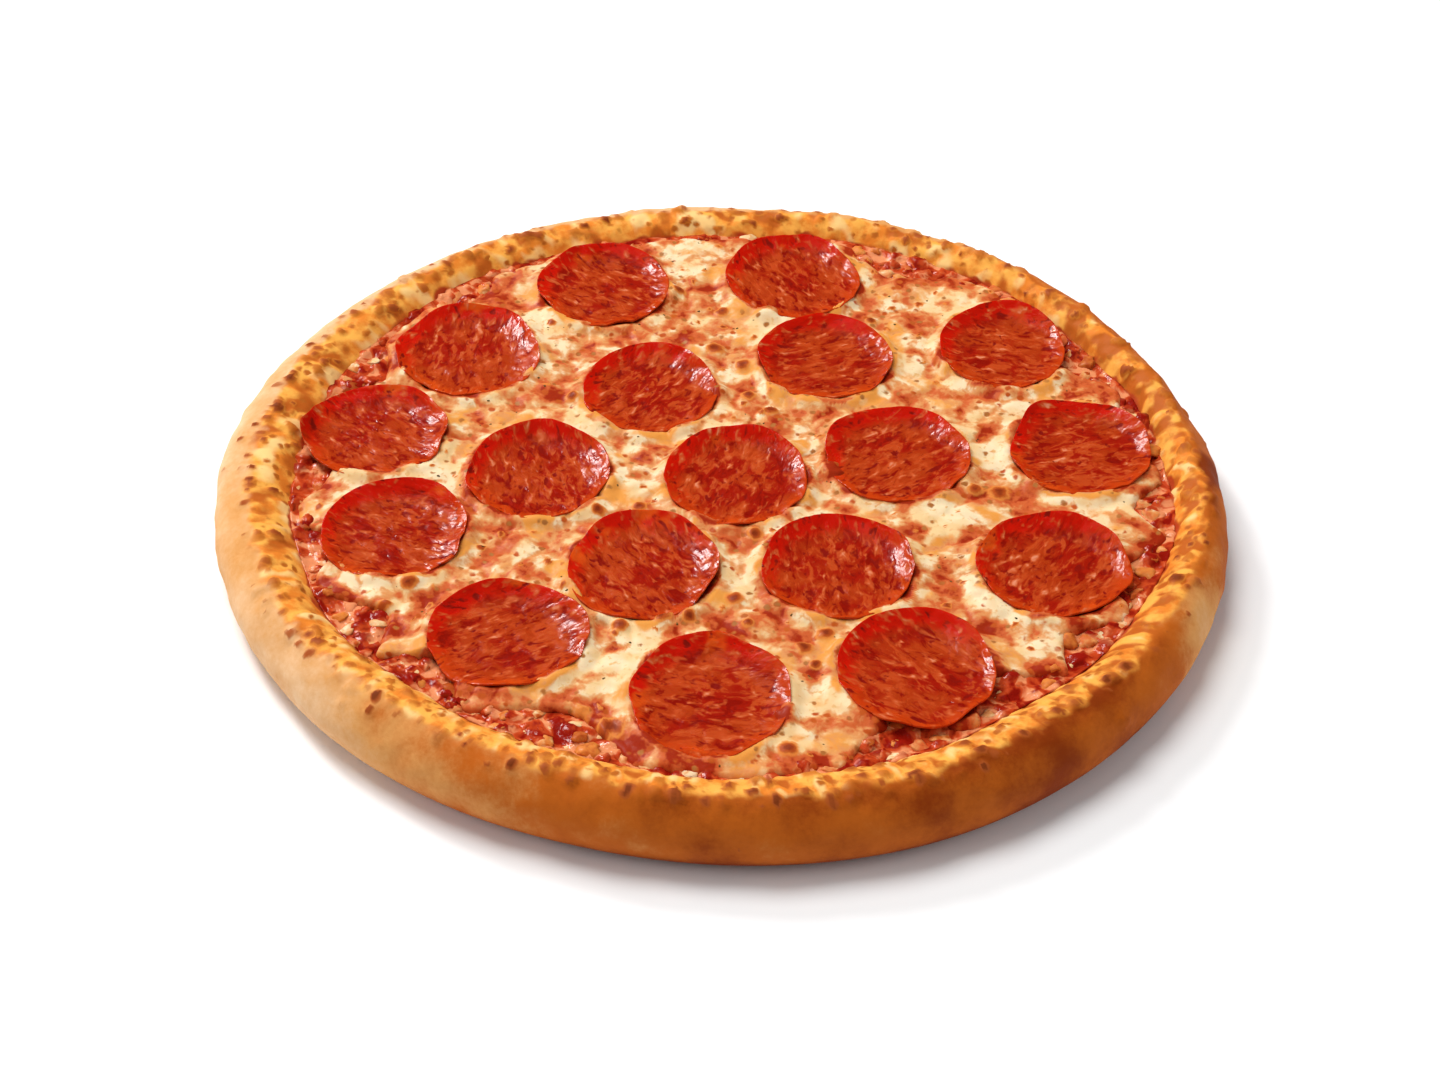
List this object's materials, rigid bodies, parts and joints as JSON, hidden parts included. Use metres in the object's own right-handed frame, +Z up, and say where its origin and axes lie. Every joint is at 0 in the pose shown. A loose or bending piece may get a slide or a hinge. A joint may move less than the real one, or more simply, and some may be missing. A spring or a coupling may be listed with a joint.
{
  "type": "pepperoni pizza",
  "caption": "Whole round pepperoni pizza: a raised golden crust round tomato sauce and melted cheese, topped all over with cured sausage slices.",
  "frame": {"origin": "centre of the flat underside, on the surface the pizza lies on", "axes": "+Z up through the toppings; -Y towards the side that is nearest in the picture, +X to its right"},
  "size_m": [0.3072, 0.3039, 0.0236],
  "materials": {
    "crust": "baked dough, matte",
    "sauce": "cooked tomato sauce, wet",
    "cheese": "melted cheese, oily",
    "pepperoni": "cured sausage, oily"
  },
  "bodies": {
    "root": {"crust": "crust", "sauce": "sauce", "cheese": "cheese", "pepperoni_01": "pepperoni", "pepperoni_02": "pepperoni", "pepperoni_03": "pepperoni", "pepperoni_04": "pepperoni", "pepperoni_05": "pepperoni", "pepperoni_06": "pepperoni", "pepperoni_07": "pepperoni", "pepperoni_08": "pepperoni", "pepperoni_09": "pepperoni", "pepperoni_10": "pepperoni", "pepperoni_11": "pepperoni", "pepperoni_12": "pepperoni", "pepperoni_13": "pepperoni", "pepperoni_14": "pepperoni", "pepperoni_15": "pepperoni", "pepperoni_16": "pepperoni", "pepperoni_17": "pepperoni", "pepperoni_18": "pepperoni"}
  },
  "joints": []
}
